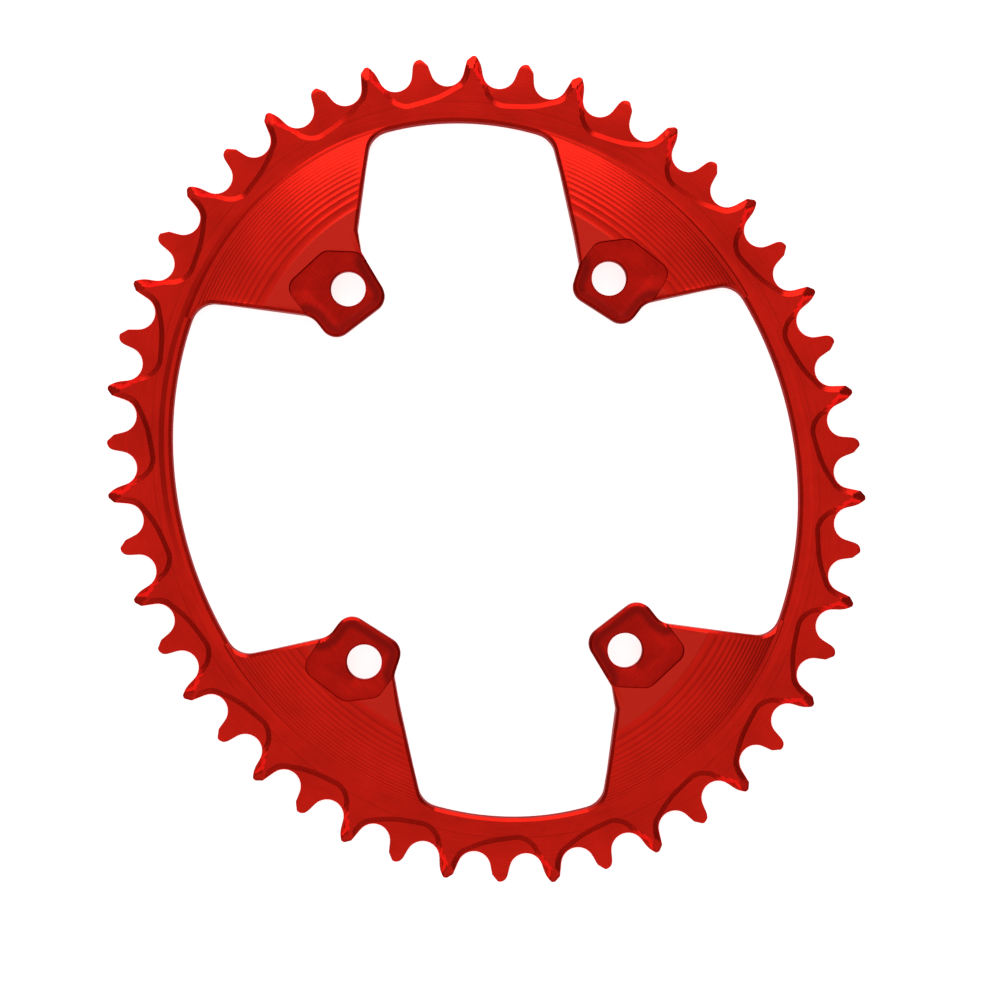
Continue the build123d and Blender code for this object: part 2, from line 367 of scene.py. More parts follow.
@dataclass(frozen=True)
class Teeth:
    """Outline and faces of the wide and narrow teeth, in the frame of each tooth.

    In that frame x runs along the chain, anticlockwise, and y runs outward from the line through
    the two seats beside the tooth.
    """

    seat_radius: float = 4.06
    flank_angle: float = math.radians(11.3)
    wide_corners: tuple = ((-1.93, 1.25), (-1.42, 2.55), (-0.45, 3.8), (0.32, 3.82), (1.66, 2.5))
    wide_cuts: tuple = (0.6, 0.6, 0.25, 0.25, 0.2)
    narrow_corners: tuple = ((-1.83, 1.5), (-0.3, 3.25), (0.5, 3.25), (1.4, 2.75), (1.88, 1.8))
    narrow_cuts: tuple = (0.2, 0.3, 0.4, 0.5, 0.5)
    corner_points: int = 4
    seat_points: int = 13
    edge_break: float = 0.1
    wide_bevel_start: float = 0.44
    wide_bevel_slope: float = 0.5
    narrow_bevel_centre: float = -1.0
    narrow_bevel_radius: float = 2.45
    narrow_bevel_slope: float = 0.42
    narrow_thickness: float = 2.1

    def frames(self, oval: PitchOval) -> tuple[np.ndarray, np.ndarray, np.ndarray]:
        """Middles of the teeth and their two directions.

        Args:
            oval: Line that the seats lie on.

        Returns:
            Middles, directions along the chain and outward directions, one row a tooth.
        """
        seats = oval.at(np.arange(oval.teeth + 1) * oval.step, 0.0)
        middle = (seats[1:] + seats[:-1]) / 2
        along = unit(seats[1:] - seats[:-1])
        return middle, along, np.stack([along[:, 1], -along[:, 0]], axis=1)

    def outline(self, oval: PitchOval) -> np.ndarray:
        """Closed outline of all teeth: for each, the arc of the seat before it and its profile.

        Args:
            oval: Line that the seats lie on.

        Returns:
            Points in order, anticlockwise.
        """
        middle, along, outward = self.frames(oval)
        seats = oval.at(np.arange(oval.teeth) * oval.step, 0.0)
        foot_x = oval.pitch / 2 - self.seat_radius * math.cos(self.flank_angle)
        foot_y = -self.seat_radius * math.sin(self.flank_angle)
        shapes = ((self.narrow_corners, self.narrow_cuts), (self.wide_corners, self.wide_cuts))
        profiles = []
        for corners, cuts in shapes:
            points = np.array([(-foot_x, foot_y), *corners, (foot_x, foot_y)])
            profiles.append(rounded_path(points, np.array(cuts), self.corner_points)[1:-1])
        kinds = np.array(profiles)[np.arange(oval.teeth) % 2]
        tops = middle[:, None] + kinds[..., :1] * along[:, None] + kinds[..., 1:] * outward[:, None]
        lead_foot = middle + foot_x * along + foot_y * outward
        trail_foot = middle - foot_x * along + foot_y * outward
        first = np.roll(lead_foot, 1, axis=0) - seats
        last = trail_foot - seats
        start = np.arctan2(first[:, 1], first[:, 0])
        sweep = -np.mod(start - np.arctan2(last[:, 1], last[:, 0]), 2 * math.pi)
        angle = start[:, None] + sweep[:, None] * np.linspace(0, 1, self.seat_points)
        arcs = seats[:, None] + self.seat_radius * np.stack([np.cos(angle), np.sin(angle)], axis=-1)
        return np.concatenate([arcs, tops], axis=1).reshape(-1, 2)

    def cone_reach(self, x: np.ndarray, y: np.ndarray) -> np.ndarray:
        """How far places lie past the foot of the narrow tip's cone, on its outer side."""
        reach = np.hypot(x, y - self.narrow_bevel_centre) - self.narrow_bevel_radius
        return np.where(y > self.narrow_bevel_centre, np.maximum(reach, 0), 0)

    def local(self, oval: PitchOval, along: np.ndarray,
              points: np.ndarray) -> tuple[np.ndarray, np.ndarray, np.ndarray]:
        """Coordinates of points in the frame of the tooth that they belong to.

        Args:
            oval: Line that the seats lie on.
            along: Distances of the points along the oval.
            points: The points.

        Returns:
            x and y in the tooth's frame, and whether the tooth is a wide one.
        """
        tooth = np.floor(np.mod(along, oval.length) / oval.step).astype(int) % oval.teeth
        middle, across, outward = self.frames(oval)
        away = points - middle[tooth]
        x = (away * across[tooth]).sum(axis=-1)
        y = (away * outward[tooth]).sum(axis=-1)
        return x, y, tooth % 2 == 1


@dataclass(frozen=True)
class Recess:
    """Scalloped recess that thins each narrow tooth, from one wide tooth to the next.

    Its edge on the rim's face is given as distance along the oval from the middle of the wide
    tooth before it, and depth inside the oval.
    """

    corners: tuple = (
        (0.5, -5.0), (0.6, 0.3), (1.05, 2.2), (2.2, 4.25), (7.9, 7.3), (13.2, 8.4), (17.8, 8.9),
        (20.3, 7.85), (22.1, 6.1), (23.0, 3.9), (25.3, 0.5), (25.52, -0.8), (25.6, -5.0))
    corner_points: int = 9
    wall_width: float = 1.35
    gap: float = 0.36
    crease: tuple = ((10.0, 2.4), (20.5, 5.9))
    crease_slope: float = 0.09
    crease_start: float = 4.0
    crease_fade: float = 6.0
    facet_size: float = 0.07
    facet_length: float = 1.9
    facet_middle: float = 12.0
    facet_start: float = 7.8
    facet_fade: float = 3.0

    @cached_property
    def edge(self) -> np.ndarray:
        """The edge as a smooth path, curved from the middle of each leg to that of the next."""
        points = np.array(self.corners)
        legs = np.linalg.norm(np.diff(points, axis=0), axis=1)
        return rounded_path(points, np.minimum(legs[:-1], legs[1:]) / 2, self.corner_points)

    @cached_property
    def foot(self) -> np.ndarray:
        """Lower edge of the wall: the edge moved into the recess by the wall's width."""
        leg = unit(np.gradient(self.edge, axis=0))
        moved = self.edge + np.stack([leg[:, 1], -leg[:, 0]], axis=1) * self.wall_width
        keep = moved[:, 0] >= np.maximum.accumulate(moved[:, 0]) - TINY
        return moved[keep]

    def place(self, oval: PitchOval, along: np.ndarray) -> np.ndarray:
        """Distance from the wide tooth that each place belongs to; the second tooth is wide."""
        first_middle = 1.5 * oval.step
        return np.mod(along - first_middle - self.gap, 2 * oval.step) + self.gap

    def drop(self, oval: PitchOval, along: np.ndarray, depth: np.ndarray) -> np.ndarray:
        """Share of the recess's full depth at each place.

        The wall is a straight slope. At its two steep ends the cutter left facets, which move the
        slope in and out as a cosine of the length along the edge.

        Args:
            oval: Line that the distances run along.
            along: Distances along the oval.
            depth: Depths inside it.

        Returns:
            0 outside the recess, 1 on its floor.
        """
        x = self.place(oval, along)
        inside = depth < np.interp(x, *self.edge.T)
        away, run = path_project(np.stack([x, depth], axis=-1), self.edge)
        t = np.clip(away / self.wall_width, 0, 1)
        from_middle = np.abs(x - self.facet_middle)
        steep = np.clip((from_middle - self.facet_start) / self.facet_fade, 0, 1)
        wave = np.cos(2 * math.pi * run / self.facet_length)
        facet = self.facet_size * steep * wave * 4 * t * (1 - t)
        return np.where(inside, np.clip(t + facet, 0, 1), 0)

    def floor_fall(self, oval: PitchOval, along: np.ndarray, depth: np.ndarray) -> np.ndarray:
        """How much the floor falls outward of its crease, as a plane that leaves the crease."""
        x = self.place(oval, along)
        (x0, v0), (x1, v1) = self.crease
        line = v0 + (x - x0) * (v1 - v0) / (x1 - x0)
        share = np.clip((x - self.crease_start) / self.crease_fade, 0, 1)
        return self.crease_slope * np.maximum(line - depth, 0) * share


@dataclass(frozen=True)
class Rim:
    """Toothed rim: recessed faces, a groove on the front and an upright inner wall.

    A fine step on the front, darkened by a line of painted shade in the finish, marks where the
    wedges of the wide teeth leave the rim's face.
    """

    oval: PitchOval = field(default_factory=PitchOval)
    teeth: Teeth = field(default_factory=Teeth)
    recess: Recess = field(default_factory=Recess)
    thickness: float = 4.0
    wedge_step: float = 0.01
    wedge_depth: float = 8.0
    wedge_room: float = 0.2
    wedge_edge: float = 0.03
    groove_low: float = 10.5
    groove_shift: float = 0.33
    groove_bow: float = 1.0
    groove_width: float = 0.95
    groove_narrowing: float = 0.25
    groove_lead: float = 0.3
    groove_drop: float = 0.64
    groove_rise: float = 0.3
    groove_spread: float = 2.2
    groove_fade: float = 0.6
    groove_lower_fade: float = 0.8
    crest_depth: float = 11.9
    wall_depth: float = 12.65
    back_break: float = 0.2
    least_break: float = 0.02
    # Columns added beside the middle of each wide tooth, where the recess's ends run steeply.
    steep_run: tuple = (-5.6, -1.2, 0.35)
    steep_places: tuple = (
        -1.15, -0.95, -0.7, -0.2, 0.05, 0.12, 0.18, 0.24, 0.46, 0.54, 0.6, 0.66, 0.76, 0.9, 1.1,
        1.4, 1.72, 1.9)
    column_digits: int = 4
    column_room: float = 0.012
    off_teeth: float = -9.0
    probe_reach: float = 4.2
    probe_points: int = 121
    row_shares: tuple = (0, 0.34, 0.67)

    def bearing(self, along: np.ndarray) -> tuple[np.ndarray, np.ndarray]:
        """Cosine and sine of the angle from the ring's X axis to places along the oval."""
        points = unit(self.oval.at(along, 0.0))
        return points[..., 0], points[..., 1]

    def groove_lines(self, along: np.ndarray) -> tuple[np.ndarray, np.ndarray]:
        """Depths of the groove's outer and lowest line.

        The lowest line lies further out on the right than on the left, and bows inward by the
        square of the sine towards the top and bottom; the outer flank is narrower on the right.

        Args:
            along: Distances along the oval.

        Returns:
            Depth of the outer line and of the lowest line.
        """
        aside, _ = self.bearing(along)
        low = self.groove_low - self.groove_shift * aside + self.groove_bow * (1 - aside ** 2)
        return low - self.groove_width + self.groove_narrowing * aside, low

    def profile(self, along: np.ndarray, depth: np.ndarray) -> np.ndarray:
        """Height of the front: flat, a groove with two straight flanks, and the inner chamfer.

        The groove fades towards the top and bottom of the ring as the square of x over the
        distance from the axis, and partly again towards its right and its lower half.

        Args:
            along: Distances along the oval.
            depth: Depths inside it.

        Returns:
            Heights above the back.
        """
        aside, upward = self.bearing(along)
        share = np.minimum(self.groove_spread * aside ** 2, 1)
        share = share * (1 - self.groove_fade * np.maximum(aside, 0) ** 2)
        share = share * (1 - self.groove_lower_fade * np.maximum(-upward, 0))
        start, low = self.groove_lines(along)
        fallen = np.clip((depth - start) / (low - start), 0, 1)
        risen = np.clip((depth - low) / (self.crest_depth - low), 0, 1)
        groove = self.groove_rise * risen - self.groove_drop * fallen
        return self.thickness + share * groove - np.maximum(depth - self.crest_depth, 0)

    def tooth_face(self, along: np.ndarray, depth: np.ndarray, step: float) -> np.ndarray:
        """Height of the toothed face: the lowest of rim face, recess and the tips' bevels.

        Args:
            along: Distances along the oval.
            depth: Depths inside it.
            step: Height of the line where the wedges of the wide teeth leave the rim's face.

        Returns:
            Heights above the back.
        """
        teeth = self.teeth
        points = self.oval.at(along, depth)
        x, y, wide = teeth.local(self.oval, along, points)
        deep = (self.thickness - teeth.narrow_thickness) / 2
        flat = self.thickness - step * (depth < self.wedge_depth + self.wedge_edge)
        sunk = self.recess.drop(self.oval, along, depth)
        fall = self.recess.floor_fall(self.oval, along, depth) * sunk
        height = np.minimum(flat, self.thickness - deep * sunk - fall)
        past = np.maximum(y - teeth.wide_bevel_start, 0)
        slant = self.thickness - teeth.wide_bevel_slope * past
        reach = teeth.cone_reach(x, y)
        cone = self.thickness - deep - teeth.narrow_bevel_slope * reach
        return np.minimum(height, np.where(wide, slant, np.where(reach > 0, cone, height)))

    def columns(self) -> tuple[np.ndarray, np.ndarray, np.ndarray]:
        """Columns of the grid: the outline's points, and more at the recess's steep ends.

        Returns:
            Distance along the oval, depth of the outline and depth of the outline's edge break.
        """
        oval = self.oval
        outline = self.teeth.outline(oval)
        along, depth = oval.locate(outline)
        around = unit(np.roll(outline, -1, axis=0) - np.roll(outline, 1, axis=0))
        inward = np.stack([-around[:, 1], around[:, 0]], axis=1)
        in_along, in_depth = oval.locate(outline + inward * self.teeth.edge_break)
        steep = np.concatenate([np.arange(*self.steep_run), self.steep_places])
        wide_middle = (np.arange(1, oval.teeth, 2) + 0.5) * oval.step
        extra = np.mod(wide_middle[:, None] + steep, oval.length).ravel()
        columns = np.unique(np.round(np.concatenate([along, extra]), self.column_digits))
        columns = columns[np.concatenate([[True], np.diff(columns) > self.column_room])]
        outer = np.interp(columns, along, depth, period=oval.length)
        broken = np.interp(columns, in_along, in_depth, period=oval.length)
        return columns, outer, np.maximum(broken, outer + self.least_break)

    def tooth_rows(self, columns: np.ndarray, broken: np.ndarray) -> np.ndarray:
        """Depths of the rows across the teeth, on each column where the face turns.

        Args:
            columns: Distances along the oval.
            broken: Depth at which the face starts on each column.

        Returns:
            Depths, rows by columns, from the edge break to the recess's edge.
        """
        x = self.recess.place(self.oval, columns)
        top = np.interp(x, *self.recess.edge.T)
        foot = np.interp(x, *self.recess.foot.T, left=self.off_teeth, right=self.off_teeth)
        probe = np.linspace(-self.probe_reach, self.probe_reach, self.probe_points)[:, None]
        probe = probe + 0 * columns
        along = columns + 0 * probe
        across, up, wide = self.teeth.local(self.oval, along, self.oval.at(along, probe))
        past = np.where(wide, up - self.teeth.wide_bevel_start, self.teeth.cone_reach(across, up))
        bevel = np.where(past > 0, probe, self.off_teeth).max(axis=0)
        turns = np.maximum(np.sort(np.stack([bevel, foot, top]), axis=0), broken)
        stops = np.concatenate([broken[None], turns])
        t = np.array(self.row_shares)[:, None]
        rows = stops[:-1, None] * (1 - t) + stops[1:, None] * t
        return np.concatenate([rows.reshape(-1, len(columns)), turns[-1:]])

    def add(self, parts: MeshParts) -> None:
        """Add the toothed rim: front, back, tooth flanks and inner wall.

        Args:
            parts: Mesh that gets the grids.
        """
        columns, outer, broken = self.columns()
        rows = self.tooth_rows(columns, broken)
        all_round = np.ones((1, len(columns)))
        beside = self.wedge_room * np.array([[-1], [0], [1]])
        wedge = np.maximum((self.wedge_depth + beside) * all_round, rows[-1:])
        start, low = self.groove_lines(columns[None])
        lead = start - self.groove_lead
        crest = self.crest_depth * all_round
        wall = self.wall_depth * all_round
        groove = [lead, start, (start + low) / 2, low, (low + crest) / 2, crest, wall]
        front = np.concatenate([outer[None], rows, wedge, *groove])
        along = columns + 0 * front
        face = self.tooth_face(along, front, self.wedge_step)
        on_rim = front > (lead + start) / 2
        shape = np.where(on_rim, self.profile(along, front), face)
        shape[0] = shape[1] - self.teeth.edge_break
        back = np.concatenate([outer[None], rows, wall - self.back_break, wall])
        back_along = columns + 0 * back
        behind = self.thickness - self.tooth_face(back_along, back, 0.0)
        behind[0] = behind[1] + self.teeth.edge_break
        behind[-1] = self.back_break
        top = parts.add_points(raised(self.oval.at(along, front), shape))
        bottom = parts.add_points(raised(self.oval.at(back_along, back), behind))
        parts.add_grid(top, closed=True)
        parts.add_grid(bottom, closed=True)
        parts.add_grid(np.stack([top[0], bottom[0]]), closed=True)
        parts.add_grid(np.stack([top[-1], bottom[-1]]), closed=True)


@dataclass(frozen=True)
class Terraces:
    """Front and back of the arms: terraces along ovals up to a flat land, and a hollow behind.

    The root is where the front comes down into the rim, as depth and height.
    """

    origin: float = 34.0
    reach: float = 30.6
    count: int = 15
    rise: float = 4.5
    scallop_slope: float = 0.21
    root: tuple = ((10.9, 3.4), (11.9, 4.0))
    land_height: float = 8.6
    tab_back: float = 3.2
    hollow_start: float = 13.5
    hollow_end: float = 20.0
    back_gap: float = 0.02
    band_shares: tuple = (0, 0.2, 0.5, 0.8)
    fillet_steps: tuple = (0, 0.03, 0.09, 0.21, 0.4)
    land_steps: tuple = (0, 1.5, 4.0, 9.0)

    @cached_property
    def lines(self) -> np.ndarray:
        """Depths of the lines between terraces: the square of their distance from the origin
        falls evenly."""
        return self.origin - np.sqrt(self.reach * np.arange(self.count, 0, -1))

    def chord(self, depth: np.ndarray) -> np.ndarray:
        """Height of the front without scallops: straight from line to line, and into the rim."""
        share = np.arange(self.count - 1, -1, -1) / (self.count - 1)
        heights = self.land_height - self.rise * share
        root, sunk = zip(*self.root)
        return np.interp(depth, [*root, *self.lines], [*sunk, *heights])

    def height(self, depth: np.ndarray) -> np.ndarray:
        """Height of the front: even rises from line to line, each band hollowed by a cutter.

        A band of width w whose hollow meets its lines at the slope q is q * w / 4 deep in its
        middle.

        Args:
            depth: Depths inside the pitch oval.

        Returns:
            Heights above the back.
        """
        lines = self.lines
        band = np.clip(np.searchsorted(lines, depth, side="right") - 1, 0, self.count - 2)
        width = lines[band + 1] - lines[band]
        t = np.clip((depth - lines[band]) / width, 0, 1)
        return self.chord(depth) - self.scallop_slope * width * t * (1 - t)

    def back_height(self, depth: np.ndarray) -> np.ndarray:
        """Height of the back: level with the rim, then a slope to the seats of the tabs."""
        places = [self.hollow_start, self.hollow_end]
        return np.interp(depth, places, [self.back_gap, self.tab_back])

    def rows(self, rim_depth: float) -> np.ndarray:
        """Depths of the rows across an arm: four to a terrace, and where back or fillet turns."""
        lines = self.lines
        bands = lines[:-1, None] + np.diff(lines)[:, None] * np.array(self.band_shares)
        root = [place for place, _ in self.root]
        fillet = rim_depth + np.array(self.fillet_steps)
        land = lines[-1] + np.array(self.land_steps)
        hollow = [self.hollow_start, self.hollow_end]
        return np.unique(np.concatenate([bands.ravel(), root, fillet, hollow, land]))


class ArmKind(Enum):
    """The two kinds of arm: the near side, the far side and the hand.

    A side is its width at the tab's end, its lean in degrees and the height of its shoulder. The
    hand is 1 where the near side lies clockwise of the bolt, and otherwise -1.
    """

    BROAD = ((6.06, 14.2, -0.62), (9.95, 4.5, -0.42), -1)
    SLIM = ((6.38, 6.4, 7.6), (10.9, 0.5, 0.06), 1)

    @property
    def near(self) -> tuple:
        """Width, lean and shoulder of the near side."""
        return self.value[0]

    @property
    def far(self) -> tuple:
        """Width, lean and shoulder of the far side."""
        return self.value[1]

    @property
    def hand(self) -> int:
        """Which way the near side lies."""
        return self.value[2]


@dataclass(frozen=True)
class Arm:
    """One arm with its bolt tab, in the frame of its bolt.

    In that frame x runs towards the ring's Y axis, the near side, and y runs outward.
    """

    angle: float
    kind: ArmKind
    bolt_circle: float = 110.0
    hole_radius: float = 4.2
    hole_break: float = 0.3
    tab_end: float = 8.2
    tab_corner: float = 4.0
    shoulder_corner: float = 5.0
    rim_fillet: float = 5.5
    spread: float = math.radians(45)
    edge_break: float = 0.75
    pocket: tuple = ((8.5, -12.0), (7.4, 5.2), (0.9, 10.6), (-11.9, 9.4), (-11.9, -12.0))
    pocket_corner: float = 3.2
    pocket_floor: float = 5.7
    pocket_wall: float = 1.6
    pocket_slope: float = 5.0
    lip_rise: float = 0.65
    lip_width: float = 3.0
    dish_power: float = 1.2
    # Depth of the painted shade inside the tab's free edge, as distance from the edge and share.
    lip_shade: tuple = ((0.6, 0.0), (1.2, 1.0), (2.2, 1.0), (3.4, 0.0))
    # Depth at which the columns leave the oval for the pocket's edge, and their room before it.
    turn_depth: float = 23.6
    turn_room: float = 0.3
    fit_steps: int = 4
    columns: int = 40
    side_gap: float = 0.006
    free_points: int = 60
    free_gap: float = 0.12
    # Rings from the tab's edge to the hole: distance from the edge, and share of the way at most.
    ring_steps: tuple = (0, 0.12, 0.4, 0.75, 1.2, 1.7, 2.2, 2.7, 3.2, 4.0, 4.9)
    ring_shares: tuple = (0, 0.05, 0.16, 0.3, 0.4, 0.5, 0.59, 0.68, 0.77, 0.85, 0.93)
    reach_points: int = 400
    fillet_points: int = 24
    outline_points: int = 1600
    pocket_points: int = 3000
    # Where a coarser path will do, each how many points of the fine one it takes.
    side_skip: int = 5
    free_skip: int = 4
    wall_skip: int = 12
    pocket_skip: int = 60

    @cached_property
    def axes(self) -> tuple[np.ndarray, np.ndarray]:
        """Directions of the bolt's frame: towards the near side, and outward."""
        outward = np.array([math.cos(self.angle), math.sin(self.angle)])
        return np.array([outward[1], -outward[0]]) * self.kind.hand, outward

    @cached_property
    def centre(self) -> np.ndarray:
        """The bolt's place."""
        return self.bolt_circle / 2 * self.axes[1]

    @cached_property
    def shares(self) -> np.ndarray:
        """Places of the columns between the chamfers: even, with one more close to each."""
        even = np.linspace(self.side_gap, 1 - self.side_gap, self.columns - 4)
        return np.concatenate([[0], even, [1]])

    def to_ring(self, points: np.ndarray) -> np.ndarray:
        """Points of the bolt's frame in the frame of the ring."""
        near, outward = self.axes
        return self.centre + points[..., :1] * near + points[..., 1:] * outward

    def from_ring(self, points: np.ndarray) -> np.ndarray:
        """Points of the ring's frame in the frame of the bolt."""
        return (points - self.centre) @ np.stack(self.axes, axis=1)

    def side(self, sign: int, size: tuple, rim: Rim) -> np.ndarray:
        """One side of the arm, from the tab's end to where its fillet meets the rim.

        The fillet's centre lies on the side's line moved out by the radius, where that line is
        one radius inside the rim.

        Args:
            sign: 1 for the near side and -1 for the far side.
            size: Width, lean in degrees and shoulder of the side.
            rim: The rim.

        Returns:
            Corners of the side up to the fillet, then the fillet's points.
        """
        width, lean, shoulder = size
        root = width + (shoulder + self.tab_end) * math.tan(math.radians(lean))
        corner = np.array([sign * root, shoulder])
        run = np.array([sign * math.sin(self.spread), math.cos(self.spread)])
        out = np.array([run[1], -run[0]]) * sign
        reach = np.linspace(0, self.bolt_circle / 2, self.reach_points)
        centres = corner + out * self.rim_fillet + run * reach[:, None]
        depth = rim.oval.locate(self.to_ring(centres))[1]
        at = np.interp(-(rim.wall_depth + self.rim_fillet), -depth, reach)
        middle = corner + out * self.rim_fillet + run * at
        along, _ = rim.oval.locate(self.to_ring(middle[None]))
        towards = rim.oval.at(along, rim.wall_depth)[0] - self.to_ring(middle)
        first = -out
        last = np.array([towards @ axis for axis in self.axes])
        turn = math.atan2(first[0] * last[1] - first[1] * last[0], float(first @ last))
        angle = np.linspace(0, turn, self.fillet_points)[:, None]
        cross = np.array([-first[1], first[0]])
        arc = middle + self.rim_fillet * (np.cos(angle) * first + np.sin(angle) * cross)
        return np.concatenate([[(sign * width, -self.tab_end)], [corner], arc])

    def outline(self, rim: Rim) -> np.ndarray:
        """Outline from the rim on the near side, round the tab, to the rim on the far side."""
        near = self.side(1, self.kind.near, rim)
        far = self.side(-1, self.kind.far, rim)
        bends = np.concatenate([near[2:0:-1], near[:1], far[:3]])
        shoulder, tab = self.shoulder_corner, self.tab_corner
        tip = filleted_path(bends, np.array([shoulder, tab, tab, shoulder]))
        return resampled(np.concatenate([near[:2:-1], tip, far[3:]]), self.outline_points)

    def pocket_path(self) -> np.ndarray:
        """Edge of the pocket from the near side over the top to the far side."""
        points = np.array(self.pocket)
        path = filleted_path(points, np.full(len(points) - 2, self.pocket_corner))
        return resampled(path, self.pocket_points)

    def pocket_height(self, points: np.ndarray, free_edge: np.ndarray, land: float) -> np.ndarray:
        """Height of the pocket's dished floor.

        It rises from a flat seat round the hole to the wall's foot and to the tab's free edges, at
        the share t of the way from an edge to the seat by 1 - t to the dish's power.

        Args:
            points: Places in the bolt's frame.
            free_edge: The tab's free edge.
            land: Height of the arm's land, from which the wall goes down.

        Returns:
            Heights above the ring's back.
        """
        to_wall = path_distance(points, self.pocket_path()[::self.wall_skip])
        wall = np.clip(to_wall / self.pocket_slope, 0, 1) ** self.dish_power
        lip = np.clip(path_distance(points, free_edge) / self.lip_width, 0, 1) ** self.dish_power
        wall_rise = land - self.pocket_wall - self.pocket_floor
        return self.pocket_floor + np.maximum(wall_rise * (1 - wall), self.lip_rise * (1 - lip))

    def pocket_edge(self, outline: np.ndarray, first: int, last: int) -> np.ndarray:
        """Part of the pocket's edge that lies on the arm, one point a column.

        Args:
            outline: The arm's outline.
            first: Number of the outline's point where the pocket cuts the near side.
            last: Number of the outline's point where it cuts the far side.

        Returns:
            Points in the bolt's frame, close together at the two chamfers.
        """
        pocket = self.pocket_path()
        start = np.argmin(np.linalg.norm(pocket - outline[first], axis=1))
        stop = np.argmin(np.linalg.norm(pocket - outline[last], axis=1))
        edge = np.concatenate([[outline[first]], pocket[start + 1:stop], [outline[last]]])
        span = lengths_along(edge)[-1]
        inner = self.edge_break + self.shares * (span - 2 * self.edge_break)
        return sample_path(edge, np.concatenate([[0], inner, [span]]))

    def plan(self, outline: np.ndarray, first: int, last: int, edge: np.ndarray, rim: Rim,
             terraces: Terraces) -> np.ndarray:
        """Plan of the arm's rows: side to side at the terraces' depths, each ending at the pocket.

        A row runs along the oval between the arm's two sides. Below the depth where the pocket
        begins, a column goes straight on to its point of the pocket's edge, and its rows keep
        their depths as far as the column reaches.

        Args:
            outline: The arm's outline in the bolt's frame.
            first: Number of the outline's point where the pocket cuts the near side.
            last: Number of the outline's point where it cuts the far side.
            edge: Points of the pocket's edge, one a column.
            rim: The rim.
            terraces: Front and back of the arm.

        Returns:
            Points, rows by columns, in the frame of the ring.
        """
        oval = rim.oval
        middle = oval.locate(self.centre[None])[0][0]
        half = oval.length / 2

        def places(path: np.ndarray, depth: np.ndarray) -> np.ndarray:
            """Distances from the bolt where a path that runs inward has given depths."""
            along, reached = oval.locate(self.to_ring(path))
            unrolled = np.mod(along - middle + half, oval.length) - half
            return np.interp(depth, np.maximum.accumulate(reached), unrolled)

        run = unit(np.gradient(outline, axis=0))
        broken = outline + np.stack([run[:, 1], -run[:, 0]], axis=1) * self.edge_break
        near_run, far_run = slice(None, first + 1), slice(None, last - 1, -1)
        ends = self.to_ring(edge)
        end_depth = oval.locate(ends)[1]
        rows = terraces.rows(rim.wall_depth)
        turn = min(self.turn_depth, end_depth.min() - self.turn_room)
        upper = np.concatenate([rows[rows < turn], [turn]])
        near, far = places(outline[near_run], upper), places(outline[far_run], upper)
        near_in, far_in = places(broken[near_run], upper), places(broken[far_run], upper)
        inner = near_in[:, None] + self.shares * (far_in - near_in)[:, None]
        along = np.concatenate([near[:, None], inner, far[:, None]], axis=1)
        plan = oval.at(middle + along, upper[:, None] + 0 * along)

        base = plan[-1]
        target = np.minimum(rows[rows > turn][:, None], end_depth)
        reach = end_depth - turn
        t = (target - turn) / reach
        blend = ((along[-1] - near[-1]) / (far[-1] - near[-1]))[:, None]
        sides = ((outline[near_run], 0, 1 - blend), (outline[far_run], -1, blend))
        for _ in range(self.fit_steps):
            share = t[..., None]
            points = base * (1 - share) + ends * share
            for path, column, weight in sides:
                deepest = oval.locate(self.to_ring(path))[1].max()
                depth = turn + t * (deepest - turn)
                straight = base[column] * (1 - share) + ends[column] * share
                bow = oval.at(middle + places(path, depth), depth) - straight
                points = points + bow * weight
            missed = (target - oval.locate(points)[1]) / reach
            t = np.where(target < end_depth, np.clip(t + missed, 0, 1), 1)
        points = np.where((t >= 1)[..., None], ends, points)
        return np.concatenate([plan, points, ends[None]])

    def add(self, parts: MeshParts, rim: Rim, terraces: Terraces) -> None:
        """Add the arm with its tab, from inside the rim to the free edges.

        Rows follow the terraces from side to side and stop at the pocket. The chamfers' columns
        run straight from line to line.

        Args:
            parts: Mesh that gets the grids.
            rim: The rim.
            terraces: Front and back of the arm.
        """
        outline = self.outline(rim)
        first, last = np.flatnonzero(inside_polygon(outline, self.pocket_path()))[[0, -1]]
        edge = self.pocket_edge(outline, first, last)
        plan = self.plan(outline, first, last, edge, rim, terraces)
        depth = rim.oval.locate(plan)[1]
        height = terraces.height(depth)
        chamfers = [0, 1, -2, -1]
        height[:, chamfers] = terraces.chord(depth[:, chamfers])
        to_side = path_distance(plan, self.to_ring(outline[::self.side_skip]))
        height -= np.maximum(self.edge_break - to_side, 0)
        back = terraces.back_height(depth)
        top = parts.add_points(raised(plan, height))
        under = parts.add_points(raised(plan, back))
        parts.add_grid(top)
        parts.add_grid(under)
        parts.add_grid(np.stack([top[:, 0], under[:, 0]]))
        parts.add_grid(np.stack([top[:, -1], under[:, -1]]))
        parts.add_grid(np.stack([top[0], under[0]]))

        run = lengths_along(outline)
        free_ends = run[last] + self.free_gap, run[first] - self.free_gap
        free = sample_path(outline, np.linspace(*free_ends, self.free_points))
        loop = np.concatenate([edge, free])
        free_edge = outline[first:last + 1:self.free_skip]
        self.add_tab(parts, loop, free_edge, terraces, height[-1], back[-1])

